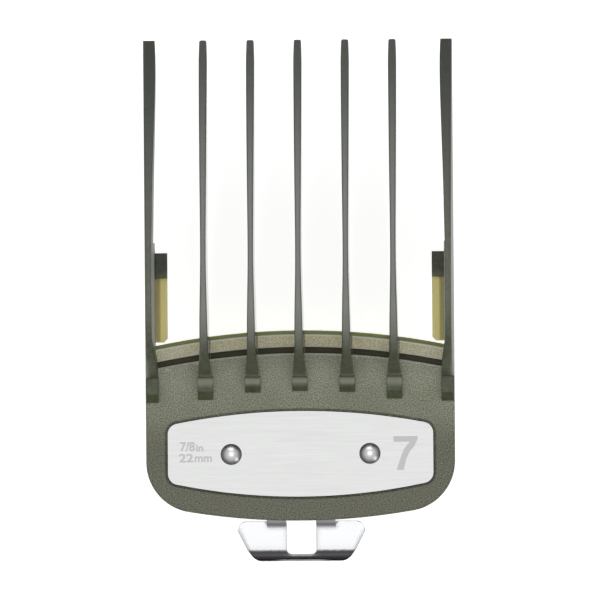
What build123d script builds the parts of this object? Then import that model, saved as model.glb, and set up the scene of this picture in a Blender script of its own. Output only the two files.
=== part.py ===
from build123d import *
from math import cos, radians, sin, tan
import os

# A guard comb for a hair clipper. +X runs across the comb, +Y from the spring clip towards the tips
# of the teeth, and +Z towards the skin. The origin is on the centre line, at the bottom edge of the
# comb's plate, on the plane where the clipper's blade lies.

os.makedirs("parts", exist_ok=True)

# Comb plate
half_width = 24.5
plate_thickness = 2.4
plate_top = 26.6
arch_radius = 114.0
bottom_radius = 107.0
plate_corner = 8.0
plate_edge_round = 0.35

# Cross bar in front of the blade's tips, with a groove between it and the plate
bar_back = 0.15
groove_floor = 0.7
bar_front = 1.25
bar_start = 27.55
bar_end = 30.2
bar_slope = 0.7
bar_round = 0.15

# Teeth, which stand on the plate and reach past the blade
crest_y = 35.3
crest_z = 20.4
front_middle = (56.9, 13.7)
tip_y = 76.3
tip_back = -0.1
ramp_start = 22.8
ramp_middle = (26.2, 15.3)
rib_height = 1.25
end_height = 0.3
end_slope = 1.3
shoulder_y = 30.3
shoulder_z = -2.6
tooth_pitch = 7.5
tooth_roots = (20.6, 20.4, 19.3)
outer_root = 18.9
root_width = 2.4
tooth_round = 0.28

# Side walls, and the rails that hold the front corners of the blade
wall_inside = 22.95
wall_draft = 0.25
outer_draft = 1.05
wall_start = 9.4
wall_back = -4.8
wall_end = 44.2
rail_inside = 21.0
rail_thickness = 0.9
rail_start = 28.4
rail_end = 42.6
rail_fillet = 0.75
rail_chamfer = 0.6
block_start = 38.6
block_thickness = 2.0

# Face plate, let into the skin side of the comb plate
face_half_width = 21.15
face_bottom = 3.73
face_bottom_radius = 96.0
face_top = 17.5
face_top_radius = 103.0
face_corner = 1.8
face_thickness = 0.5
face_gap = 0.28
face_edge = 0.1

# Rivets
rivet_x = 11.0
rivet_y = 10.6
rivet_radius = 1.1
rivet_hole_radius = 1.15
head_radius = 1.7
head_height = 0.75
tail_radius = 1.6
tail_height = 0.35
tail_round = 0.15

# Spring clip: one strip with a riveted foot, two legs and a thumb tab with a turned-back lip
strip = 0.5
foot_recess = 1.0
leg_recess = 1.25
recess_gap = 0.15
foot_half_width = 13.4
foot_low = 7.2
foot_high = 14.0
foot_corner = 1.2
leg_inside = 2.35
leg_outside = 5.46
leg_y = -0.45
split_y = 0.6
split_gap = 0.12
first_bend = 0.65
second_bend = 0.6
second_bend_z = -3.05
tab_slope = 5
tab_top = -0.1
tab_half_width = 10.1
tab_widest_y = -1.7
tab_waist = 8.65
curl_start = -4.6
curl_radius = 1.85
lip = 0.4
tab_low = -6.55
tab_low_half_width = 7.3
tab_top_corner = 1.3
tab_low_corner = 2.4
window_low = -5.5
window_corner = 0.9


def drop(radius, x):
    """How far an arch of this radius has fallen at x from the centre line."""
    return radius - (radius**2 - x**2) ** 0.5


def lens(low, low_bow, low_radius, high, high_radius, reach):
    """A face between two arches at low and high. low_bow is 1 for an arch and -1 for a bowl."""
    low_end = low - low_bow * drop(low_radius, reach)
    high_end = high - drop(high_radius, reach)
    with BuildSketch(Plane.XY) as face:
        with BuildLine():
            ThreePointArc((-reach, low_end), (0, low), (reach, low_end))
            Line((reach, low_end), (reach, high_end))
            ThreePointArc((reach, high_end), (0, high), (-reach, high_end))
            Line((-reach, high_end), (-reach, low_end))
        make_face()
    return face.sketch


def plate_outline():
    """The comb plate: a gently bowed bottom edge, large lower corners and an arched top."""
    with BuildSketch(Plane.XY) as outline:
        add(lens(0, -1, bottom_radius, plate_top, arch_radius, half_width))
        fillet(outline.vertices().group_by(Axis.Y)[0], plate_corner)
    return outline.sketch


def face_outline(gap):
    """The face plate's outline, with a gap all round."""
    with BuildSketch(Plane.XY) as outline:
        add(lens(face_bottom, -1, face_bottom_radius, face_top, face_top_radius, face_half_width))
        fillet(outline.vertices(), face_corner)
        if gap:
            offset(amount=gap)
    return outline.sketch


def foot_outline(gap):
    """The clip's riveted foot."""
    with BuildSketch(Plane.XY) as outline:
        with Locations((0, (foot_low + foot_high) / 2)):
            RectangleRounded(
                2 * (foot_half_width + gap),
                foot_high - foot_low + 2 * gap,
                foot_corner,
            )
    return outline.sketch


def leg_outline(gap, end):
    """The clip's two legs, from inside the foot down to end."""
    middle = (leg_inside + leg_outside) / 2
    with BuildSketch(Plane.XY) as outline:
        with Locations((-middle, end), (middle, end)):
            Rectangle(
                leg_outside - leg_inside + 2 * gap,
                foot_low + 1 - end,
                align=(Align.CENTER, Align.MIN),
            )
    return outline.sketch


def tooth_side(root):
    """A tooth from the side: root, sloped end, rib, ramp, crest, front edge, tip and shoulder."""
    rib_z = plate_thickness + rib_height
    sunk = plate_thickness / 2
    with BuildSketch(Plane.XY) as side:
        with BuildLine():
            Polyline(
                (root, sunk),
                (root, plate_thickness + end_height),
                (root + end_slope, rib_z),
                (ramp_start, rib_z),
            )
            Spline(
                (ramp_start, rib_z),
                ramp_middle,
                (crest_y, crest_z),
                tangents=[(0.1, 1), (1, -0.14)],
            )
            Spline(
                (crest_y, crest_z),
                front_middle,
                (tip_y, plate_thickness),
                tangents=[(1, -0.14), (1, -0.75)],
            )
            Polyline(
                (tip_y, plate_thickness),
                (tip_y, tip_back),
                (shoulder_y, shoulder_z),
                (shoulder_y, sunk),
                (root, sunk),
            )
        make_face()
    return side.sketch


def inner_tooth(root):
    """A tooth on the centre line: wide at its root, thin at the crest, wider towards the tip."""
    half_root = root_width / 2
    root_end = ramp_start - 0.4
    with BuildPart() as tooth:
        with BuildSketch(Plane.YZ.offset(-root_width)):
            add(tooth_side(root))
        extrude(amount=2 * root_width)
        with BuildSketch(Plane.XY.offset(shoulder_z - 1)):
            with BuildLine():
                Polyline((0, outer_root), (half_root, outer_root), (half_root, root_end))
                Spline(
                    (half_root, root_end),
                    (0.9, 25),
                    (0.64, bar_end),
                    (0.45, 40),
                    (0.48, 50),
                    (0.66, 72),
                    (0.57, tip_y),
                    tangents=[(0, 1), (-0.04, 1)],
                )
                Line((0.57, tip_y), (0, tip_y))
                mirror(about=Plane.YZ)
            make_face()
        extrude(amount=crest_z - shoulder_z + 2, mode=Mode.INTERSECT)
        edges = tooth.edges()
        long = edges.filter_by(lambda e: abs(e.center().X) > 0.3 and e.length > 40)
        tip = edges.filter_by(lambda e: e.center().Y > tip_y - 0.1)
        fillet(long + tip, tooth_round)
    return tooth.part


def outer_tooth():
    """The right-hand outer tooth: its inner face tapers, its outer face is straight."""
    inside = (22.45, 23.3, 23.35, 23.17, 22.98, 22.53, 22.66)
    with BuildPart() as tooth:
        with BuildSketch(Plane.YZ.offset(rail_inside)):
            add(tooth_side(outer_root))
        extrude(amount=half_width - rail_inside)
        with BuildSketch(Plane.XY.offset(shoulder_z - 1)):
            with BuildLine():
                Polyline(
                    (inside[-1], tip_y),
                    (half_width, tip_y),
                    (half_width, outer_root),
                    (inside[0], outer_root),
                    (inside[0], ramp_start),
                )
                Spline(
                    (inside[0], ramp_start),
                    (inside[1], bar_end),
                    (inside[2], 38),
                    (inside[3], wall_end),
                    (inside[4], 54),
                    (inside[5], 72),
                    (inside[6], tip_y),
                    tangents=[(0, 1), (0.05, 1)],
                )
            make_face()
        extrude(amount=crest_z - shoulder_z + 2, mode=Mode.INTERSECT)
    return tooth.part


def side_wall():
    """The right-hand wall, upright beside the blade, drafted in front of it, cut to its outline."""
    front_z = crest_z + 1
    with BuildPart() as wall:
        with BuildSketch(Plane.XZ.offset(-wall_start)):
            with BuildLine():
                Polyline(
                    (half_width, wall_back),
                    (half_width, front_z),
                    (wall_inside + wall_draft, front_z),
                    (wall_inside, 0),
                    (wall_inside, wall_back),
                    close=True,
                )
            make_face()
        extrude(amount=-(wall_end - wall_start))
        with BuildSketch(Plane.YZ.offset(rail_inside)):
            add(tooth_side(outer_root))
            with BuildLine():
                Polyline(
                    (wall_start, plate_thickness - 0.4),
                    (wall_start, 0),
                    (wall_start + 4, -3.4),
                    (24, wall_back),
                    (rail_end, wall_back),
                    (wall_end, -1.8),
                    (wall_end, plate_thickness - 0.4),
                    close=True,
                )
            make_face()
        extrude(amount=half_width - rail_inside, mode=Mode.INTERSECT)
    return wall.part


def outer_side():
    """The right-hand side: the wall and its outer tooth, drafted outside, and the wall's rail."""
    rail_front = wall_back + rail_thickness
    lean = (crest_z + 1 - plate_thickness) * tan(radians(outer_draft))
    with BuildPart() as side:
        add(side_wall())
        add(outer_tooth())
        with BuildSketch(Plane.XZ):
            with BuildLine():
                Polyline(
                    (half_width, plate_thickness),
                    (half_width + 1, plate_thickness),
                    (half_width + 1, crest_z + 1),
                    (half_width - lean, crest_z + 1),
                    close=True,
                )
            make_face()
        extrude(amount=-tip_y - 1, mode=Mode.SUBTRACT)
        # The rail, with a concave fillet up to the wall and a thicker block at its far end
        with BuildSketch(Plane.XZ.offset(-rail_start)):
            with BuildLine():
                Polyline(
                    (half_width - 0.4, wall_back),
                    (rail_inside, wall_back),
                    (rail_inside, rail_front),
                    (wall_inside - rail_fillet, rail_front),
                )
                RadiusArc(
                    (wall_inside - rail_fillet, rail_front),
                    (wall_inside, rail_front + rail_fillet),
                    -rail_fillet,
                )
                Polyline(
                    (wall_inside, rail_front + rail_fillet),
                    (half_width - 0.4, rail_front + rail_fillet),
                    (half_width - 0.4, wall_back),
                )
            make_face()
        extrude(amount=-(rail_end - rail_start))
        with BuildSketch(Plane.XY.offset(wall_back)):
            with Locations((rail_inside, (block_start + rail_end) / 2)):
                Rectangle(
                    wall_inside - rail_inside + 0.2,
                    rail_end - block_start,
                    align=(Align.MIN, Align.CENTER),
                )
        extrude(amount=block_thickness)
        lead_in = side.edges().filter_by(Axis.Z).group_by(Axis.X)[0].sort_by(Axis.Y)[0]
        chamfer(lead_in, rail_chamfer)
    return side.part


def cross_bar():
    """The thin bar before the blade's tips: a groove floor, then the bar with its sloped rim."""
    reach = wall_inside + 0.3
    with BuildPart() as bar:
        with BuildSketch(Plane.XY.offset(bar_back)):
            add(lens(bar_start, 1, arch_radius, bar_end, arch_radius, reach))
        extrude(amount=bar_front - bar_back)
        front = bar.faces().sort_by(Axis.Z)[-1]
        rim = front.edges().filter_by(GeomType.CIRCLE).sort_by(Axis.Y)[-1]
        chamfer(rim, bar_slope)
        front = bar.faces().sort_by(Axis.Z)[-1]
        fillet(front.edges().filter_by(GeomType.CIRCLE), bar_round)
        with BuildSketch(Plane.XY.offset(bar_back)):
            add(lens(plate_top - 0.6, 1, arch_radius, bar_start + 0.5, arch_radius, reach))
        extrude(amount=groove_floor - bar_back)
    return bar.part


def tab_point(y):
    """A point on the middle of the thumb tab's thickness, at y."""
    slope = radians(tab_slope)
    bend_y = leg_y - second_bend + second_bend * sin(slope)
    bend_z = second_bend_z - second_bend * cos(slope)
    return (y, bend_z + (y - bend_y) * tan(slope))


with BuildPart() as comb_body:
    with BuildSketch(Plane.XY):
        add(plate_outline())
    extrude(amount=plate_thickness)
    fillet(comb_body.faces().sort_by(Axis.Z)[-1].edges(), plate_edge_round)
    add(cross_bar())
    right_side = outer_side()
    add(right_side)
    add(right_side.mirror(Plane.YZ))
    outer = comb_body.edges().filter_by(lambda e: abs(e.center().X) > half_width - 0.5)
    front = outer.filter_by(lambda e: e.center().Z > plate_thickness + 0.6)
    back = outer.filter_by(lambda e: e.center().Z < -0.5 and e.length > 3)
    fillet(front + back, tooth_round)
    for place, root in enumerate(tooth_roots):
        tooth = inner_tooth(root)
        with Locations(*{(-place * tooth_pitch, 0, 0), (place * tooth_pitch, 0, 0)}):
            add(tooth)
    with BuildSketch(Plane.XY.offset(plate_thickness - face_thickness)):
        add(face_outline(face_gap))
    extrude(amount=face_thickness, mode=Mode.SUBTRACT)
    with BuildSketch(Plane.XY):
        add(foot_outline(recess_gap))
    extrude(amount=foot_recess, mode=Mode.SUBTRACT)
    with BuildSketch(Plane.XY):
        add(leg_outline(recess_gap, -2))
    extrude(amount=leg_recess, mode=Mode.SUBTRACT)
    with Locations((-rivet_x, rivet_y, plate_thickness), (rivet_x, rivet_y, plate_thickness)):
        Hole(rivet_hole_radius, depth=plate_thickness)

with BuildPart() as face_plate:
    with BuildSketch(Plane.XY.offset(plate_thickness - face_thickness)):
        add(face_outline(0))
    extrude(amount=face_thickness)
    chamfer(face_plate.faces().sort_by(Axis.Z)[-1].edges(), face_edge)
    with Locations((-rivet_x, rivet_y, plate_thickness), (rivet_x, rivet_y, plate_thickness)):
        Hole(rivet_hole_radius, depth=face_thickness)

with BuildPart() as clip_foot:
    with BuildSketch(Plane.XY.offset(foot_recess - strip)):
        add(foot_outline(0))
        add(leg_outline(0, split_y + split_gap / 2))
    extrude(amount=strip)
    with Locations((-rivet_x, rivet_y, foot_recess), (rivet_x, rivet_y, foot_recess)):
        Hole(rivet_hole_radius, depth=strip)

with BuildPart() as clip_tab:
    # The tab and its lip, bent in the side view and cut to the outline seen from the front
    with BuildSketch(Plane.YZ):
        with BuildLine():
            flat = Line(tab_point(tab_top), tab_point(curl_start))
            curl = JernArc(flat @ 1, flat % 1, curl_radius, 90 - tab_slope)
            Line(curl @ 1, curl @ 1 + (curl % 1) * lip)
        trace(line_width=strip)
    extrude(amount=tab_half_width + 1, both=True)
    with BuildSketch(Plane.XY.offset(-10)) as front_view:
        with BuildLine():
            Polyline(
                (0, curl_start),
                (leg_inside, curl_start),
                (leg_inside, leg_y - second_bend),
                (leg_outside, leg_y - second_bend),
                (leg_outside, tab_top),
                (tab_half_width - 0.3, tab_top),
                (tab_half_width, tab_widest_y),
                (tab_waist, curl_start),
                (tab_low_half_width, tab_low),
                (0, tab_low),
            )
            mirror(about=Plane.YZ)
        make_face()
        outer = front_view.vertices().filter_by(lambda v: abs(v.X) > tab_low_half_width - 0.1)
        fillet(outer.group_by(Axis.Y)[-1], tab_top_corner)
        fillet(outer.group_by(Axis.Y)[0], tab_low_corner)
        RectangleRounded(2 * leg_inside, -2 * window_low, window_corner, mode=Mode.SUBTRACT)
    extrude(amount=12, mode=Mode.INTERSECT)
    # The legs: from the split under the plate, round the first bend, back past the blade's heel
    with BuildSketch(Plane.YZ.offset(leg_inside)):
        with BuildLine():
            strip_middle = foot_recess - strip / 2
            start = Line((split_y - split_gap / 2, strip_middle), (leg_y + first_bend, strip_middle))
            first = JernArc(start @ 1, start % 1, first_bend, 90)
            leg = Line(first @ 1, (leg_y, second_bend_z))
            JernArc(leg @ 1, leg % 1, second_bend, tab_slope - 90)
        trace(line_width=strip)
    leg_solid = extrude(amount=leg_outside - leg_inside)
    mirror(leg_solid, about=Plane.YZ)

parts = {
    "comb_body": comb_body.part,
    "face_plate": face_plate.part,
    "clip_foot": clip_foot.part,
    "clip_tab": clip_tab.part,
}

for name, x in (("rivet_left", -rivet_x), ("rivet_right", rivet_x)):
    with BuildPart() as rivet:
        with BuildSketch(Plane((x, rivet_y, 0), x_dir=(1, 0, 0), z_dir=(0, -1, 0))):
            with BuildLine():
                under = foot_recess - strip
                RadiusArc(
                    (0, plate_thickness + head_height),
                    (head_radius, plate_thickness),
                    (head_radius**2 + head_height**2) / (2 * head_height),
                )
                Polyline(
                    (head_radius, plate_thickness),
                    (rivet_radius, plate_thickness),
                    (rivet_radius, under),
                    (tail_radius, under),
                    (tail_radius, under - tail_height + tail_round),
                    (tail_radius - tail_round, under - tail_height),
                    (0, under - tail_height),
                    (0, plate_thickness + head_height),
                )
            make_face()
        revolve(axis=Axis((x, rivet_y, 0), (0, 0, 1)))
    parts[name] = rivet.part

for name, part in parts.items():
    part.label = name
    export_step(part, f"parts/{name}.step")
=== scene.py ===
from math import cos, pi, radians, sin, tan

import bmesh
import bpy
from mathutils import Matrix, Vector


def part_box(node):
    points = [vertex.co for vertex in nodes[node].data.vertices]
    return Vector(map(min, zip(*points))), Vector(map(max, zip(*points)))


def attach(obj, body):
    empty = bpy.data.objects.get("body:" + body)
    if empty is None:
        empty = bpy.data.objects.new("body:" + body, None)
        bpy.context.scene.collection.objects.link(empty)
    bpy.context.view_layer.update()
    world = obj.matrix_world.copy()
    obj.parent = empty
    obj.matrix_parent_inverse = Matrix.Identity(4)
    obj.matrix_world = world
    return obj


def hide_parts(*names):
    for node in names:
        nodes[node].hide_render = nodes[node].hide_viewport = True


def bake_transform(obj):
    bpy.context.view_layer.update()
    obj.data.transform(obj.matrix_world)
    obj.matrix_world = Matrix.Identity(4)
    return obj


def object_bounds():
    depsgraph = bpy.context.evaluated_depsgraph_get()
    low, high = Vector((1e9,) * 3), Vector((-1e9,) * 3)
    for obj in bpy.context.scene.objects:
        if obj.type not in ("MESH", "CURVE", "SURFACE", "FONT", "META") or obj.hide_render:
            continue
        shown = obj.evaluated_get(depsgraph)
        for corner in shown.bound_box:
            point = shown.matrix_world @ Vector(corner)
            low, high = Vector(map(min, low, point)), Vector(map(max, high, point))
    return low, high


# A clipper guard comb, lying on its back on a pale floor, seen from above.
# Lengths are in millimetres, turned into Blender's metres by MM.
MM = 0.001

# Comb: places of the parts that its colours follow
PLATE_TOP = 26.6
ARCH_RADIUS = 114.0
BAR_START = 27.55
BAR_END = 30.2
BAR_FRONT = 1.3
RIM_START = 29.5
BAR_REACH = 22.9
TOOTH_PITCH = 7.5
TOOTH_HALF = 0.8
RIB_END = 22.9
RAIL_INSIDE = 20.9
RAIL_FRONT = -3.9
BLOCK_START = 38.6

# Spring clip: a bent strip, with a foot, two legs, a thumb tab with a window, and a lip
STRIP = 0.5
FOOT_CORNER = 1.2
FOOT_LENGTH = 6.8
LEG_INSIDE = 2.35
LEG_OUTSIDE = 5.46
LEG_Y = -0.45
FIRST_BEND = 0.65
SECOND_BEND = 0.6
SECOND_BEND_Z = -3.05
TAB_SLOPE = radians(5)
TAB_TOP = -0.1
TAB_SIDE = ((9.8, -0.1), (10.1, -1.7), (8.65, -4.6), (7.3, -6.55))
TAB_TOP_CORNER = 1.3
TAB_LOW_CORNER = 2.4
WINDOW_LOW = -5.5
WINDOW_CORNER = 0.9
CURL_START = -4.6
CURL_RADIUS = 1.85
LIP = 0.4
CLIP_EDGE = 0.12
RIVET_HOLE = 1.15
# Where the painted highlight on the lip's lower edge starts
LIP_HIGHLIGHT = -6.15

# Rivets
SHANK = 1.1
TAIL = 1.6

# Size marks etched on the face plate
MARK_HEIGHT = 0.006

# Camera and stage
CAMERA_DISTANCE = 3600.0
FRAME_WIDTH = 95.15
CAMERA_YAW = radians(0.64)
CAMERA_ROLL = radians(0.45)
VIEW_CENTRE = (0.1, 35.0)
SENSOR = 36.0
FLOOR_RADIUS = 1.6
FLOOR_GAP = 0.02
CARD_HALF = 0.6
CARD_GAP = 0.5

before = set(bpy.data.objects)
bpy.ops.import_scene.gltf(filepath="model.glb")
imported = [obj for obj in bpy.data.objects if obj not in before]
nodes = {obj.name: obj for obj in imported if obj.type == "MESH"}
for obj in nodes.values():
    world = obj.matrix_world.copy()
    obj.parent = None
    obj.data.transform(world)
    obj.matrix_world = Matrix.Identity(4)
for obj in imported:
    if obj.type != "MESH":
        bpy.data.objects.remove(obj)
cad_low, cad_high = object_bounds()
face_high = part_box("face_plate")[1]
foot_low, foot_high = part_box("clip_foot")
PLATE_FRONT = face_high.z / MM


def shade(red, green, blue):
    """A colour given as screen values from 0 to 255."""

    def linear(value):
        part = value / 255
        return part / 12.92 if part <= 0.04045 else ((part + 0.055) / 1.055) ** 2.4

    return (linear(red), linear(green), linear(blue), 1.0)


# Colours of the comb's plastic
PLATE_DARK = shade(66, 70, 56)
PLATE_LIGHT = shade(140, 142, 122)
# Painted sheen: lighter colours for the upper plate where it faces up
UPPER_SHEEN_DARK = shade(100, 104, 84)
UPPER_SHEEN_LIGHT = shade(184, 188, 164)
TOP_SHEEN_DARK = shade(128, 132, 110)
TOP_SHEEN_LIGHT = shade(210, 214, 190)
CLOUD = shade(112, 108, 86)
TOOTH_DARK = shade(72, 78, 55)
TOOTH_LIGHT = shade(88, 94, 68)
# A painted highlight for the teeth's front edges
TOOTH_HIGHLIGHT = shade(142, 146, 141)
# Painted shade for the teeth's tips
TOOTH_TIP_SHADE = shade(50, 54, 52)
RIB_GLINT = shade(170, 174, 150)
# A painted highlight along the plate's top edge, also the colour of pale scuffs there
PALE_HIGHLIGHT_AND_SCUFF = shade(236, 238, 226)
# Painted shade in the groove
GROOVE_SHADE = shade(82, 80, 44)
# Painted light shining through the thin bar, with painted highlights on its edges
BAR_GLOW_DARK = shade(208, 200, 166)
BAR_GLOW_LIGHT = shade(254, 252, 232)
BAR_EDGE_HIGHLIGHT = shade(254, 252, 236)
RIM_GREEN = shade(156, 162, 108)
# Painted light shining through the thin rails
RAIL_GLOW_FLAT = shade(228, 220, 176)
RAIL_GLOW_SIDE = shade(196, 192, 158)

# Colours painted on the clip's steel: painted shade on its rounded edges, and a painted dark
# reflection in its curl, paler lower down
TAB_EDGE_SHADE = shade(112, 108, 114)
CURL_REFLECTION_DARK = shade(92, 88, 93)
CURL_REFLECTION_PALE = shade(206, 204, 208)


class Paint:
    """A material's nodes, with short ways to add and join them. Lengths are in millimetres."""

    def __init__(self, name, **settings):
        self.material = bpy.data.materials.new(name)
        self.material.use_nodes = True
        self.tree = self.material.node_tree
        self.shader = next(n for n in self.tree.nodes if n.type == "BSDF_PRINCIPLED")
        for socket, value in settings.items():
            self.shader.inputs[socket.replace("_", " ")].default_value = value
        coordinates = self.tree.nodes.new("ShaderNodeTexCoord").outputs
        self.place = self.vector("SCALE", coordinates["Object"], scale=1 / MM)
        self.normal = coordinates["Normal"]
        split = self.node("ShaderNodeSeparateXYZ", Vector=self.place)
        self.x, self.y, self.z = split.outputs

    def node(self, kind, **inputs):
        made = self.tree.nodes.new(kind)
        for name, value in inputs.items():
            self.put(made.inputs[name.replace("_", " ")], value)
        return made

    def put(self, socket, value):
        if isinstance(value, bpy.types.NodeSocket):
            self.tree.links.new(value, socket)
        else:
            socket.default_value = value

    def vector(self, operation, a, b=None, scale=None):
        made = self.tree.nodes.new("ShaderNodeVectorMath")
        made.operation = operation
        self.put(made.inputs[0], a)
        if b is not None:
            self.put(made.inputs[1], b)
        if scale is not None:
            self.put(made.inputs["Scale"], scale)
        return made.outputs[0]

    def math(self, operation, a, b=0.0):
        made = self.tree.nodes.new("ShaderNodeMath")
        made.operation = operation
        self.put(made.inputs[0], a)
        self.put(made.inputs[1], b)
        return made.outputs[0]

    def step(self, value, low, high):
        """0 where value is under low, 1 where it is over high, and smooth between."""
        made = self.tree.nodes.new("ShaderNodeMapRange")
        made.interpolation_type = "SMOOTHSTEP"
        self.put(made.inputs["Value"], value)
        if low > high:
            made.inputs["From Min"].default_value = high
            made.inputs["From Max"].default_value = low
            made.inputs["To Min"].default_value = 1
            made.inputs["To Max"].default_value = 0
        else:
            made.inputs["From Min"].default_value = low
            made.inputs["From Max"].default_value = high
        return made.outputs["Result"]

    def both(self, *masks):
        """The product of several masks."""
        product = masks[0]
        for mask in masks[1:]:
            product = self.math("MULTIPLY", product, mask)
        return product

    def noise(self, size, detail=2.0, roughness=0.5, stretch=(1, 1, 1)):
        """Noise whose grains are about size millimetres across, longer by stretch on each axis."""
        squeezed = self.vector("DIVIDE", self.place, stretch)
        made = self.node(
            "ShaderNodeTexNoise", Vector=squeezed, Scale=1 / size, Detail=detail, Roughness=roughness
        )
        return made.outputs["Fac"]

    def mix(self, factor, a, b):
        made = self.tree.nodes.new("ShaderNodeMix")
        made.data_type = "RGBA"
        self.put(made.inputs["Factor"], factor)
        first, second = (s for s in made.inputs if s.type == "RGBA")
        self.put(first, a)
        self.put(second, b)
        return next(s for s in made.outputs if s.type == "RGBA")

    def bump(self, height, depth, strength=1.0, softened=0.0):
        """A bump of this depth, over corners softened to this radius."""
        made = self.node("ShaderNodeBump", Height=height, Strength=strength, Distance=depth * MM)
        if softened:
            corner = self.node("ShaderNodeBevel", Radius=softened * MM)
            self.put(made.inputs["Normal"], corner.outputs["Normal"])
        return made.outputs["Normal"]

    def finish(self, colour=None, roughness=None, normal=None):
        if colour is not None:
            self.put(self.shader.inputs["Base Color"], colour)
        if roughness is not None:
            self.put(self.shader.inputs["Roughness"], roughness)
        if normal is not None:
            self.put(self.shader.inputs["Normal"], normal)
        return self.material


def comb_plastic():
    """Olive moulded plastic: a fine fleck on its textured plate, with painted sheen towards its top;
    smooth dark teeth with a painted highlight along their front edges and painted shade towards
    their tips; and painted pale, as painted light shining through, where it is thin enough to let
    light through."""
    p = Paint("comb_plastic", IOR=1.48)
    fleck = p.step(p.noise(0.2, 3, 0.7), 0.34, 0.68)
    cloud = p.step(p.noise(6.0, 2), 0.35, 0.7)
    normal = p.node("ShaderNodeSeparateXYZ", Vector=p.normal)
    upright = normal.outputs["Z"]
    across = p.math("ABSOLUTE", p.x)
    arch = p.math(
        "SUBTRACT",
        ARCH_RADIUS,
        p.math("SQRT", p.math("SUBTRACT", ARCH_RADIUS**2, p.math("MULTIPLY", p.x, p.x))),
    )
    arched_y = p.math("ADD", p.y, arch)
    from_tooth = p.math("PINGPONG", across, TOOTH_PITCH / 2)
    inside = p.step(across, BAR_REACH, BAR_REACH - 0.1)
    outer = p.step(across, RAIL_INSIDE, RAIL_INSIDE + 0.5)
    between = p.math("MAXIMUM", p.step(from_tooth, TOOTH_HALF - 0.1, TOOTH_HALF + 0.1), outer)

    # The textured plate, painted lighter and greyer towards its top edge where it faces up: painted
    # sheen
    plate = p.mix(fleck, PLATE_DARK, PLATE_LIGHT)
    pale = p.mix(fleck, UPPER_SHEEN_DARK, UPPER_SHEEN_LIGHT)
    facing = p.step(upright, 0.3, 0.8)
    colour = p.mix(p.both(facing, p.step(p.y, 11, 20)), plate, pale)
    top = p.mix(fleck, TOP_SHEEN_DARK, TOP_SHEEN_LIGHT)
    colour = p.mix(p.both(facing, p.step(p.y, 19, 25)), colour, top)
    colour = p.mix(p.math("MULTIPLY", cloud, 0.25), colour, CLOUD)

    # The teeth, with their roots: a painted highlight along their front edges, painted shade towards
    # their tips, and a painted glint on the roots' tops
    tall = p.step(p.z, PLATE_FRONT + 0.03, PLATE_FRONT + 0.12)
    beyond = p.step(arched_y, BAR_END, BAR_END + 0.2)
    flank = p.both(p.step(across, 23.6, 24.0), p.step(upright, 0.5, 0.2))
    tooth = p.both(p.math("MAXIMUM", tall, beyond), p.math("SUBTRACT", 1.0, flank))
    tooth = p.math("MAXIMUM", tooth, p.both(flank, p.step(p.y, 18, 48)))
    smooth = p.mix(p.step(p.noise(0.9, 2, 0.5), 0.3, 0.7), TOOTH_DARK, TOOTH_LIGHT)
    # A painted highlight along the teeth's front edges, weaker on the outer teeth and near the tips
    front = p.both(
        p.step(upright, 0.4, 0.9),
        p.step(p.y, 21.5, 31.5),
        p.step(p.z, PLATE_FRONT - 1, PLATE_FRONT),
        p.math("SUBTRACT", 0.75, p.math("MULTIPLY", outer, 0.55)),
        p.math("SUBTRACT", 1.0, p.math("MULTIPLY", p.step(p.y, 42, 80), 0.75)),
    )
    glint = p.both(
        p.step(upright, 0.3, 0.95),
        p.step(p.y, RIB_END - 1.9, RIB_END - 0.8),
        p.step(p.y, RIB_END + 0.1, RIB_END - 0.6),
        p.step(outer, 0.9, 0.1),
    )
    # Painted shade, deepening towards the tips
    dark = p.math("MULTIPLY", p.step(p.y, 34, 66), 0.8)
    smooth = p.mix(dark, smooth, TOOTH_TIP_SHADE)
    smooth = p.mix(front, smooth, TOOTH_HIGHLIGHT)
    smooth = p.mix(p.math("MULTIPLY", glint, 0.6), smooth, RIB_GLINT)
    colour = p.mix(tooth, colour, smooth)

    # A painted highlight along the plate's rounded top edge, and pale scuffs near it
    line = p.both(
        p.step(arched_y, PLATE_TOP - 0.36, PLATE_TOP - 0.2),
        p.step(arched_y, PLATE_TOP + 0.1, PLATE_TOP),
        p.step(p.z, PLATE_FRONT - 0.6, PLATE_FRONT - 0.3),
        p.step(p.z, PLATE_FRONT + 0.1, PLATE_FRONT + 0.05),
        inside,
        between,
    )
    line = p.math("MULTIPLY", line, p.math("ADD", 0.55, p.math("MULTIPLY", fleck, 0.45)))
    scuff = p.both(
        p.step(p.noise(0.55, 3, 0.7), 0.56, 0.68),
        p.step(arched_y, PLATE_TOP - 1.6, PLATE_TOP - 0.3),
        p.step(from_tooth, TOOTH_HALF + 1.6, TOOTH_HALF + 0.6),
        p.step(p.z, PLATE_FRONT - 0.2, PLATE_FRONT - 0.05),
        p.step(p.z, PLATE_FRONT + 0.03, PLATE_FRONT),
    )
    highlight_and_scuff = p.math("MAXIMUM", line, p.math("MULTIPLY", scuff, 0.7))
    colour = p.mix(highlight_and_scuff, colour, PALE_HIGHLIGHT_AND_SCUFF)

    # The groove, painted dark as painted shade, and the thin bar, painted pale as painted light
    # shining through it, with painted highlights on its edges and a green rim
    within = p.both(
        p.step(p.z, BAR_FRONT + 0.2, BAR_FRONT),
        inside,
        between,
    )
    past_plate = p.step(arched_y, PLATE_TOP - 0.05, PLATE_TOP + 0.02)
    before_tips = p.step(arched_y, BAR_END + 0.3, BAR_END + 0.1)
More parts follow.
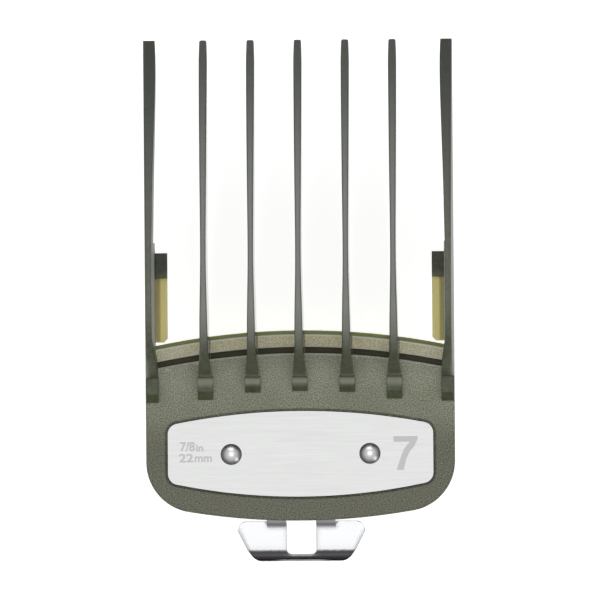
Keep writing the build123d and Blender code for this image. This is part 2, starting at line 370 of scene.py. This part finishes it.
    # Painted shade: the groove between the plate and the bar is painted dark
    groove = p.both(within, past_plate, before_tips)
    colour = p.mix(groove, colour, GROOVE_SHADE)
    bar = p.both(within, p.step(arched_y, BAR_START - 0.04, BAR_START + 0.04), before_tips)
    bar_glow = p.mix(p.step(p.noise(0.2, 3, 0.7), 0.36, 0.66), BAR_GLOW_DARK, BAR_GLOW_LIGHT)
    low_edge_highlight = p.step(arched_y, BAR_START + 0.3, BAR_START + 0.12)
    high_edge_highlight = p.both(
        p.step(arched_y, RIM_START - 0.3, RIM_START - 0.12),
        p.step(arched_y, RIM_START + 0.1, RIM_START),
    )
    bar_glow = p.mix(p.math("MAXIMUM", low_edge_highlight, high_edge_highlight), bar_glow, BAR_EDGE_HIGHLIGHT)
    bar_glow = p.mix(p.step(arched_y, RIM_START + 0.02, RIM_START + 0.14), bar_glow, RIM_GREEN)
    colour = p.mix(bar, colour, bar_glow)

    # The thin rails, painted pale as painted light shining through them
    rail = p.both(
        p.step(p.z, RAIL_FRONT + 1.2, RAIL_FRONT + 0.9),
        p.step(across, BAR_REACH + 0.3, BAR_REACH + 0.1),
        p.step(across, RAIL_INSIDE - 0.1, RAIL_INSIDE),
        p.step(p.y, BLOCK_START + 1.5, BLOCK_START - 0.6),
        p.step(p.y, 28.0, 28.3),
    )
    rail_glow = p.mix(p.step(across, BAR_REACH - 0.9, BAR_REACH - 0.6), RAIL_GLOW_FLAT, RAIL_GLOW_SIDE)
    colour = p.mix(rail, colour, rail_glow)

    grain = p.noise(0.2, 3, 0.7)
    depth = p.math("MULTIPLY", grain, p.math("SUBTRACT", 1.0, p.math("MULTIPLY", tooth, 0.8)))
    wear = p.math("MULTIPLY", p.noise(0.5, 2), 0.12)
    roughness = p.math("ADD", p.math("SUBTRACT", 0.5, p.math("MULTIPLY", tooth, 0.16)), wear)
    side = p.both(p.step(p.math("ABSOLUTE", upright), 0.25, 0.1), tooth, p.step(outer, 0.9, 0.1))
    glossier = p.math("SUBTRACT", 1.0, p.math("MULTIPLY", side, 0.75))
    roughness = p.math("MULTIPLY", roughness, glossier)
    depth = p.math("MULTIPLY", depth, p.math("SUBTRACT", 1.0, p.math("MULTIPLY", side, 0.8)))
    thin = p.math("MAXIMUM", p.math("MULTIPLY", bar, 0.6), rail)
    p.put(p.shader.inputs["Subsurface Weight"], thin)
    p.shader.inputs["Subsurface Radius"].default_value = (1.0, 0.98, 0.85)
    p.shader.inputs["Subsurface Scale"].default_value = 2.0 * MM
    return p.finish(colour, roughness, p.bump(depth, 0.02, 0.5, softened=0.3))


def brushed_steel():
    """Satin steel with fine brush lines across the comb."""
    p = Paint("face_steel", Metallic=1.0, Anisotropic=0.4)
    lines = p.noise(0.09, 3, 0.6, stretch=(60, 1, 1))
    wide = p.noise(0.5, 2, 0.5, stretch=(30, 1, 1))
    colour = p.mix(p.step(lines, 0.3, 0.7), shade(180, 181, 180), shade(188, 189, 188))
    roughness = p.math("ADD", 0.3, p.math("MULTIPLY", wide, 0.04))
    return p.finish(colour, roughness, p.bump(lines, 0.004, 0.15))


def rivet_steel():
    """Bright steel with a faint polish haze and fine scratches."""
    p = Paint("rivet_steel", Metallic=1.0)
    haze = p.noise(1.4, 3, 0.6)
    scratch = p.noise(0.05, 2, 0.6, stretch=(1, 25, 1))
    colour = p.mix(haze, shade(218, 218, 218), shade(226, 226, 227))
    roughness = p.math("ADD", 0.24, p.math("MULTIPLY", haze, 0.08))
    return p.finish(colour, roughness, p.bump(scratch, 0.001, 0.2))


def clip_steel():
    """Bright strip steel: duller at its first bend, with painted shade on its rounded edges, a
    painted dark reflection where the lip was curled, paler lower down, and a painted highlight on
    the lip's lower edge."""
    p = Paint("clip_steel", Metallic=1.0)
    haze = p.noise(1.4, 3, 0.6)
    scratch = p.noise(0.05, 2, 0.6, stretch=(1, 25, 1))
    colour = p.mix(haze, shade(206, 207, 209), shade(214, 215, 217))
    upright = p.node("ShaderNodeSeparateXYZ", Vector=p.normal).outputs["Z"]
    across = p.math("ABSOLUTE", p.x)
    tab = p.both(p.step(p.y, LEG_Y - 0.6, LEG_Y - 0.8), p.step(p.y, CURL_START - 0.2, CURL_START))
    # Painted shade on the tab's rounded edges and curved parts
    colour = p.mix(p.both(tab, p.step(upright, 0.985, 0.9)), colour, TAB_EDGE_SHADE)
    # A painted dark reflection in the curl, with a ragged start, paler lower down
    ragged = p.math("ADD", p.y, p.math("MULTIPLY", p.noise(0.4, 2), 0.3))
    curl = p.step(ragged, CURL_START + 0.25, CURL_START - 0.25)
    # A painted highlight: the lip's lower edge is made less metallic, so that it shows pale
    lip = p.both(p.step(p.y, LIP_HIGHLIGHT, LIP_HIGHLIGHT - 0.2), p.step(across, 4.8, 2.4))
    curl_reflection = p.mix(p.step(p.y, -5.1, -6.1), CURL_REFLECTION_DARK, CURL_REFLECTION_PALE)
    colour = p.mix(curl, colour, curl_reflection)
    p.put(p.shader.inputs["Metallic"], p.math("SUBTRACT", 1.0, p.math("MULTIPLY", lip, 0.85)))
    bend = p.both(
        p.step(p.y, LEG_Y - 0.9, LEG_Y - 0.4), p.step(across, LEG_OUTSIDE + 0.1, LEG_OUTSIDE - 0.1)
    )
    roughness = p.math("ADD", 0.2, p.math("MULTIPLY", bend, 0.5))
    roughness = p.math("ADD", roughness, p.math("MULTIPLY", haze, 0.08))
    return p.finish(colour, roughness, p.bump(scratch, 0.001, 0.2))


def etched_grey():
    """The matt grey of marks etched into the steel."""
    p = Paint("etched_grey", Metallic=0.85)
    fleck = p.noise(0.12, 2, 0.6)
    colour = p.mix(fleck, shade(204, 204, 204), shade(214, 214, 214))
    return p.finish(colour, p.math("ADD", 0.5, p.math("MULTIPLY", fleck, 0.15)))


def floor_white():
    """The pale floor: matt white, with a little light of its own so that shadows stay faint."""
    p = Paint("floor_white", Roughness=1.0)
    p.shader.inputs["Specular IOR Level"].default_value = 0.0
    p.shader.inputs["Emission Color"].default_value = (1, 1, 1, 1)
    p.shader.inputs["Emission Strength"].default_value = 0.75
    tone = p.mix(p.noise(40, 2), (0.9, 0.9, 0.9, 1), (0.91, 0.91, 0.905, 1))
    return p.finish(tone)


def corner_circle(before, corner, after, radius):
    """The centre of the circle that rounds a corner of an outline, and where it touches."""
    back = (Vector(before) - Vector(corner)).normalized()
    ahead = (Vector(after) - Vector(corner)).normalized()
    half = back.angle(ahead) / 2
    centre = Vector(corner) + (back + ahead).normalized() * (radius / sin(half))
    reach = radius / tan(half)
    return centre, Vector(corner) + back * reach, Vector(corner) + ahead * reach


def tab_outside(y):
    """Half the thumb tab's width at y, seen from the front."""
    top, wide, waist, low = TAB_SIDE
    circle, _, touch = corner_circle((0, top[1]), top, wide, TAB_TOP_CORNER)
    if y > touch.y:
        return circle.x + max(0, TAB_TOP_CORNER**2 - (y - circle.y) ** 2) ** 0.5
    circle, touch, _ = corner_circle(waist, low, (0, low[1]), TAB_LOW_CORNER)
    if y < touch.y:
        return circle.x + max(0, TAB_LOW_CORNER**2 - (y - circle.y) ** 2) ** 0.5
    for a, b in ((top, wide), (wide, waist), (waist, low)):
        if y >= b[1]:
            return a[0] + (b[0] - a[0]) * (y - a[1]) / (b[1] - a[1])
    return low[0]


def tab_inside(y):
    """Half the window's width at y."""
    centre = WINDOW_LOW + WINDOW_CORNER
    if y >= centre:
        return LEG_INSIDE
    return LEG_INSIDE - WINDOW_CORNER + max(0, WINDOW_CORNER**2 - (y - centre) ** 2) ** 0.5


def arc(centre, radius, start, sweep, steps):
    """Points (y, z) round an arc, its start left out."""
    angles = [start + sweep * (i + 1) / steps for i in range(steps)]
    return [(centre[0] + radius * cos(a), centre[1] + radius * sin(a)) for a in angles]


def clip_mesh():
    """The spring clip's middle surface: blocks of quads for its foot, legs, tab and lip."""
    foot_z = (foot_low.z + foot_high.z) / 2 / MM
    foot_end = foot_high.y / MM
    foot_start = foot_end - FOOT_LENGTH
    foot_side = foot_high.x / MM
    tab_start = (
        LEG_Y - SECOND_BEND + SECOND_BEND * sin(TAB_SLOPE),
        SECOND_BEND_Z - SECOND_BEND * cos(TAB_SLOPE),
    )

    def on_tab(y):
        return (y, tab_start[1] + (y - tab_start[0]) * tan(TAB_SLOPE))

    def foot_outside(y):
        near = min(y - foot_start, foot_end - y)
        if near >= FOOT_CORNER:
            return foot_side
        return foot_side - FOOT_CORNER + (FOOT_CORNER**2 - (FOOT_CORNER - near) ** 2) ** 0.5

    quads = bmesh.new()

    def block(rows, inside, outside, columns):
        """Quads between two sides of the strip, over rows of (y, z), and their mirror image."""
        for side in (1, -1):
            grid = []
            for y, z in rows:
                a, b = inside(y), outside(y)
                line = [a + (b - a) * i / columns for i in range(columns + 1)]
                grid.append([quads.verts.new((side * x * MM, y * MM, z * MM)) for x in line])
            for upper, lower in zip(grid, grid[1:]):
                for i in range(columns):
                    corners = (upper[i], upper[i + 1], lower[i + 1], lower[i])
                    quads.faces.new(corners[::-side])

    def middle(y):
        return 0.0

    def leg_in(y):
        return LEG_INSIDE

    def leg_out(y):
        return LEG_OUTSIDE

    def window_in(y):
        return tab_inside(max(y, WINDOW_LOW))

    def window_low_in(y):
        return LEG_INSIDE - WINDOW_CORNER

    rounding = [FOOT_CORNER * (1 - cos(a * pi / 12)) for a in range(7)]
    foot_rows = [foot_end - r for r in rounding] + [foot_start + r for r in rounding[::-1]]
    foot_rows = [(y, foot_z) for y in foot_rows]
    block(foot_rows, middle, leg_in, 2)
    block(foot_rows, leg_in, leg_out, 3)
    block(foot_rows, leg_out, foot_outside, 6)
    leg_rows = [(foot_start, foot_z), (3.5, foot_z), (1.2, foot_z), (LEG_Y + FIRST_BEND, foot_z)]
    bend = (LEG_Y + FIRST_BEND, foot_z - FIRST_BEND)
    leg_rows += arc(bend, FIRST_BEND, pi / 2, pi / 2, 8)
    leg_rows += [(LEG_Y, -1.5), (LEG_Y, SECOND_BEND_Z)]
    bend = (LEG_Y - SECOND_BEND, SECOND_BEND_Z)
    leg_rows += arc(bend, SECOND_BEND, 0, TAB_SLOPE - pi / 2, 8)
    block(leg_rows, leg_in, leg_out, 3)
    wing = [TAB_TOP - TAB_TOP_CORNER * (1 - cos(a * pi / 12)) for a in range(6)]
    wing = [y for y in wing if y > tab_start[0] + 0.05] + [tab_start[0]]
    block([on_tab(y) for y in wing], leg_out, tab_outside, 5)
    curl_point = on_tab(CURL_START)
    curl_centre = (
        curl_point[0] + CURL_RADIUS * sin(TAB_SLOPE),
        curl_point[1] - CURL_RADIUS * cos(TAB_SLOPE),
    )
    curl = arc(curl_centre, CURL_RADIUS, pi / 2 + TAB_SLOPE, pi / 2 - TAB_SLOPE, 28)

    def seen_outside(y):
        """The outline is that of the curl's outer face, so it's read at that face's y."""
        past = min(0, y - curl_centre[0])
        return tab_outside(y + past * STRIP / 2 / CURL_RADIUS)

    tab_rows = [on_tab(y) for y in (tab_start[0], -1.7, -2.6, -3.6, CURL_START)]
    above = [p for p in curl if p[0] > WINDOW_LOW + 0.02]
    below = [p for p in curl if p[0] <= WINDOW_LOW + 0.02]
    turn = (curl_centre[0] - WINDOW_LOW) / CURL_RADIUS
    edge = (WINDOW_LOW, curl_centre[1] + CURL_RADIUS * (1 - turn**2) ** 0.5)
    block(tab_rows + above + [edge], window_in, leg_out, 3)
    block(tab_rows + above + [edge], leg_out, seen_outside, 5)
    end = below[-1]
    below = [edge] + [p for p in below if p[0] < WINDOW_LOW - 0.02] + [(end[0], end[1] - LIP)]
    block(below, middle, window_low_in, 2)
    block(below, window_low_in, leg_out, 3)
    block(below, leg_out, seen_outside, 5)
    bmesh.ops.remove_doubles(quads, verts=quads.verts, dist=0.01 * MM)
    bmesh.ops.recalc_face_normals(quads, faces=quads.faces)
    mesh = bpy.data.meshes.new("spring_clip")
    quads.to_mesh(mesh)
    quads.free()
    return mesh


def place(name, mesh):
    made = bpy.data.objects.new(name, mesh)
    bpy.context.scene.collection.objects.link(made)
    return made


def settled(made):
    """Applies an object's modifiers."""
    bpy.context.view_layer.update()
    seen = made.evaluated_get(bpy.context.evaluated_depsgraph_get())
    final = bpy.data.meshes.new_from_object(seen)
    made.modifiers.clear()
    made.data = final
    return made


def spring_clip():
    """The whole clip as one bent strip with softened edges and its rivet holes."""
    clip = place("spring_clip", clip_mesh())
    thick = clip.modifiers.new("thickness", "SOLIDIFY")
    thick.thickness = STRIP * MM
    thick.offset = 0
    thick.use_even_offset = True
    cutters = []
    for name in ("rivet_left", "rivet_right"):
        low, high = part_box(name)
        drill = bmesh.new()
        bmesh.ops.create_cone(
            drill,
            cap_ends=True,
            segments=40,
            radius1=RIVET_HOLE * MM,
            radius2=RIVET_HOLE * MM,
            depth=3 * MM,
            matrix=Matrix.Translation(((low.x + high.x) / 2, (low.y + high.y) / 2, foot_low.z)),
        )
        mesh = bpy.data.meshes.new("drill")
        drill.to_mesh(mesh)
        drill.free()
        cutters.append(place("drill_" + name, mesh))
        cut = clip.modifiers.new("hole", "BOOLEAN")
        cut.operation = "DIFFERENCE"
        cut.solver = "EXACT"
        cut.object = cutters[-1]
    soft = clip.modifiers.new("edges", "BEVEL")
    soft.width = CLIP_EDGE * MM
    soft.segments = 3
    soft.limit_method = "ANGLE"
    soft.angle_limit = radians(50)
    settled(clip)
    for cutter in cutters:
        bpy.data.objects.remove(cutter)
    clip.data.shade_smooth()
    clip.data.set_sharp_from_angle(angle=radians(40))
    return clip


def rivet(name):
    """A rivet turned from its outline: polished dome, shank, and an upset tail with a soft rim."""
    low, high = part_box(name)
    centre = ((low.x + high.x) / 2, (low.y + high.y) / 2)
    head = (high.x - low.x) / 2 / MM
    rise = (high.z / MM) - PLATE_FRONT
    sphere = (head**2 + rise**2) / (2 * rise)
    slopes = [radians(a) for a in range(0, 46, 3)]
    outline = [(sphere * sin(a), high.z / MM - sphere * (1 - cos(a))) for a in slopes]
    tail = foot_low.z / MM
    bottom = low.z / MM
    outline += [
        (head - 0.02, PLATE_FRONT + 0.02), (head - 0.04, PLATE_FRONT), (SHANK, PLATE_FRONT),
        (SHANK, tail), (TAIL - 0.03, tail), (TAIL, tail - 0.03), (TAIL, bottom + 0.15),
        (TAIL - 0.05, bottom + 0.05), (TAIL - 0.15, bottom), (0.5, bottom), (0.35, bottom + 0.06),
        (0.0, bottom + 0.08),
    ]
    turned = bmesh.new()
    points = [turned.verts.new((r * MM, 0, z * MM)) for r, z in outline]
    edges = [turned.edges.new(pair) for pair in zip(points, points[1:])]
    bmesh.ops.spin(
        turned, geom=points + edges, angle=2 * pi, steps=64, axis=(0, 0, 1), cent=(0, 0, 0)
    )
    bmesh.ops.remove_doubles(turned, verts=turned.verts, dist=0.001 * MM)
    bmesh.ops.dissolve_degenerate(turned, edges=turned.edges, dist=0.0005 * MM)
    bmesh.ops.recalc_face_normals(turned, faces=turned.faces)
    bmesh.ops.translate(turned, verts=turned.verts, vec=(*centre, 0))
    mesh = bpy.data.meshes.new(name)
    turned.to_mesh(mesh)
    turned.free()
    made = place(name + "_polished", mesh)
    mesh.shade_smooth()
    mesh.set_sharp_from_angle(angle=radians(35))
    return made


def flat_mark(name, outline):
    """A thin etched shape on the face plate, from its outline in millimetres."""
    shape = bmesh.new()
    front = (PLATE_FRONT + MARK_HEIGHT) * MM
    face = shape.faces.new([shape.verts.new((x * MM, y * MM, front)) for x, y in outline])
    below = bmesh.ops.extrude_face_region(shape, geom=[face])["geom"]
    moved = [v for v in below if isinstance(v, bmesh.types.BMVert)]
    bmesh.ops.translate(shape, verts=moved, vec=(0, 0, -2 * MARK_HEIGHT * MM))
    bmesh.ops.recalc_face_normals(shape, faces=shape.faces)
    mesh = bpy.data.meshes.new(name)
    shape.to_mesh(mesh)
    shape.free()
    return place(name, mesh)


def text_mark(name, words, left, bottom, width, height, bold):
    """Thin etched lettering that fills a box on the face plate, sizes in millimetres."""
    curve = bpy.data.curves.new(name, "FONT")
    curve.body = words
    curve.size = 1.0
    curve.offset = bold
    curve.resolution_u = 4
    curve.extrude = 1.0
    made = place(name, curve)
    bpy.context.view_layer.update()
    size = made.dimensions
    corner = Vector(made.bound_box[0])
    scale = (width * MM / size.x, height * MM / size.y)
    mesh = bpy.data.meshes.new_from_object(made)
    bpy.data.objects.remove(made)
    for vertex in mesh.vertices:
        level = PLATE_FRONT + (MARK_HEIGHT if vertex.co.z > 0 else -MARK_HEIGHT)
        vertex.co = (
            left * MM + (vertex.co.x - corner.x) * scale[0],
            bottom * MM + (vertex.co.y - corner.y) * scale[1],
            level * MM,
        )
    shape = bmesh.new()
    shape.from_mesh(mesh)
    bmesh.ops.remove_doubles(shape, verts=shape.verts, dist=0.001 * MM)
    bmesh.ops.recalc_face_normals(shape, faces=shape.faces)
    shape.to_mesh(mesh)
    shape.free()
    return place(name, mesh)


def aim(made, spot, target, up=(0, 1, 0)):
    """Puts a lamp or camera at spot, looking at target."""
    back = (Vector(spot) - Vector(target)).normalized()
    right = Vector(up).cross(back).normalized()
    turn = Matrix((right, back.cross(right), back)).transposed()
    made.matrix_world = Matrix.Translation(spot) @ turn.to_4x4()


def lamp(name, spot, target, width, height, power):
    light = bpy.data.lights.new(name, "AREA")
    light.shape = "RECTANGLE"
    light.size = width
    light.size_y = height
    light.energy = power
    made = place(name, light)
    made.visible_camera = False
    aim(made, spot, target)
    return made


def sky():
    """Soft light from above that fades to dark at the horizon, with a white backdrop behind it."""
    world = bpy.data.worlds.new("studio")
    world.use_nodes = True
    bpy.context.scene.world = world
    tree = world.node_tree
    tree.nodes.clear()
    place_of = tree.nodes.new("ShaderNodeTexCoord")
    split = tree.nodes.new("ShaderNodeSeparateXYZ")
    tree.links.new(place_of.outputs["Generated"], split.inputs[0])
    ramp = tree.nodes.new("ShaderNodeValToRGB")
    ramp.color_ramp.interpolation = "B_SPLINE"
    stops = ((0.0, 0.04), (0.3, 0.1), (0.5, 0.3), (0.68, 0.6), (0.85, 0.75), (1.0, 0.75))
    while len(ramp.color_ramp.elements) < len(stops):
        ramp.color_ramp.elements.new(0.5)
    for element, (position, value) in zip(ramp.color_ramp.elements, stops):
        element.position = position
        element.color = (value, value, value, 1)
    tree.links.new(split.outputs["Z"], ramp.inputs["Fac"])
    light = tree.nodes.new("ShaderNodeBackground")
    tree.links.new(ramp.outputs["Color"], light.inputs["Color"])
    backdrop = tree.nodes.new("ShaderNodeBackground")
    backdrop.inputs["Color"].default_value = (1, 1, 1, 1)
    rays = tree.nodes.new("ShaderNodeLightPath")
    choose = tree.nodes.new("ShaderNodeMixShader")
    tree.links.new(rays.outputs["Is Camera Ray"], choose.inputs["Fac"])
    tree.links.new(light.outputs[0], choose.inputs[1])
    tree.links.new(backdrop.outputs[0], choose.inputs[2])
    output = tree.nodes.new("ShaderNodeOutputWorld")
    tree.links.new(choose.outputs[0], output.inputs["Surface"])


def paint(made, material):
    """Gives every material slot of an object this material."""
    if not made.material_slots:
        made.data.materials.append(material)
    for slot in made.material_slots:
        slot.material = material


def stage():
    """The floor under the comb."""
    floor = bmesh.new()
    bmesh.ops.create_circle(floor, cap_ends=True, segments=96, radius=FLOOR_RADIUS)
    bmesh.ops.translate(floor, verts=floor.verts, vec=(0, 0.035, cad_low.z - FLOOR_GAP * MM))
    mesh = bpy.data.meshes.new("floor")
    floor.to_mesh(mesh)
    floor.free()
    made = place("floor", mesh)
    paint(made, floor_white())

    # A black card in front of the clip, seen only in reflections, as a studio uses to shape steel
    card = bmesh.new()
    edge = cad_low.y - CARD_GAP * MM
    corners = (
        (-CARD_HALF, -CARD_HALF), (CARD_HALF, -CARD_HALF), (CARD_HALF, edge), (-CARD_HALF, edge)
    )
    card.faces.new([card.verts.new((x, y, cad_low.z)) for x, y in corners])
    mesh = bpy.data.meshes.new("card")
    card.to_mesh(mesh)
    card.free()
    flag = place("black_card", mesh)
    black = Paint("card_black", Roughness=1.0)
    paint(flag, black.finish(black.mix(black.noise(20), shade(8, 8, 8), shade(12, 12, 12))))
    for ray in ("camera", "diffuse", "transmission", "shadow", "volume_scatter"):
        setattr(flag, "visible_" + ray, False)


def camera():
    """Almost straight down from far away, turned and tilted as little as in the photograph."""
    lens = bpy.data.cameras.new("camera")
    lens.sensor_width = SENSOR
    lens.lens = SENSOR * CAMERA_DISTANCE / FRAME_WIDTH
    lens.clip_start = 0.1
    lens.clip_end = 20
    made = place("camera", lens)
    target = Vector((VIEW_CENTRE[0] * MM, VIEW_CENTRE[1] * MM, face_high.z))
    away = Vector((sin(CAMERA_YAW), 0, cos(CAMERA_YAW))) * CAMERA_DISTANCE * MM
    aim(made, target + away, target, up=(sin(CAMERA_ROLL), cos(CAMERA_ROLL), 0))
    bpy.context.scene.camera = made


paint(nodes["comb_body"], comb_plastic())
paint(nodes["face_plate"], brushed_steel())
rivet_paint = rivet_steel()
for name in ("rivet_left", "rivet_right"):
    turned = rivet(name)
    paint(turned, rivet_paint)
    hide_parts(name)
    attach(turned, "comb")

clip = spring_clip()
paint(clip, clip_steel())
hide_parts("clip_foot", "clip_tab")
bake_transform(clip)

seven = (
    (14.75, 13.3), (14.75, 12.4), (17.33, 12.4), (16.56, 11.45), (16.21, 10.85), (15.91, 10.0),
    (15.61, 9.13), (15.22, 7.93), (16.35, 7.93), (16.6, 9.13), (16.9, 10.0), (17.33, 10.85),
    (18.06, 11.7), (18.58, 12.8), (18.58, 13.3),
)
marks = [
    flat_mark("mark_number", seven),
    text_mark("mark_inches", "7/8", -19.1, 11.1, 2.35, 1.55, 0.03),
    text_mark("mark_inches_unit", "in", -16.6, 11.1, 1.2, 1.1, 0.03),
    text_mark("mark_size", "22", -19.3, 9.4, 2.3, 1.35, 0.03),
    text_mark("mark_size_unit", "mm", -16.8, 9.4, 2.75, 0.95, 0.03),
]
mark_paint = etched_grey()
for mark in marks:
    paint(mark, mark_paint)
    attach(mark, "comb")

stage()
sky()
target = (0, 0.035, 0)
lamp("overhead_softbox", (0, 0.035, 1.0), target, 0.5, 0.5, 1.1)
lamp("top_softbox", (-0.08, 0.72, 0.72), target, 0.7, 0.35, 1.2)
lamp("low_softbox", (0.6, -0.55, 0.45), target, 0.35, 0.35, 0.5)
camera()
bpy.context.scene.view_settings.view_transform = "Standard"
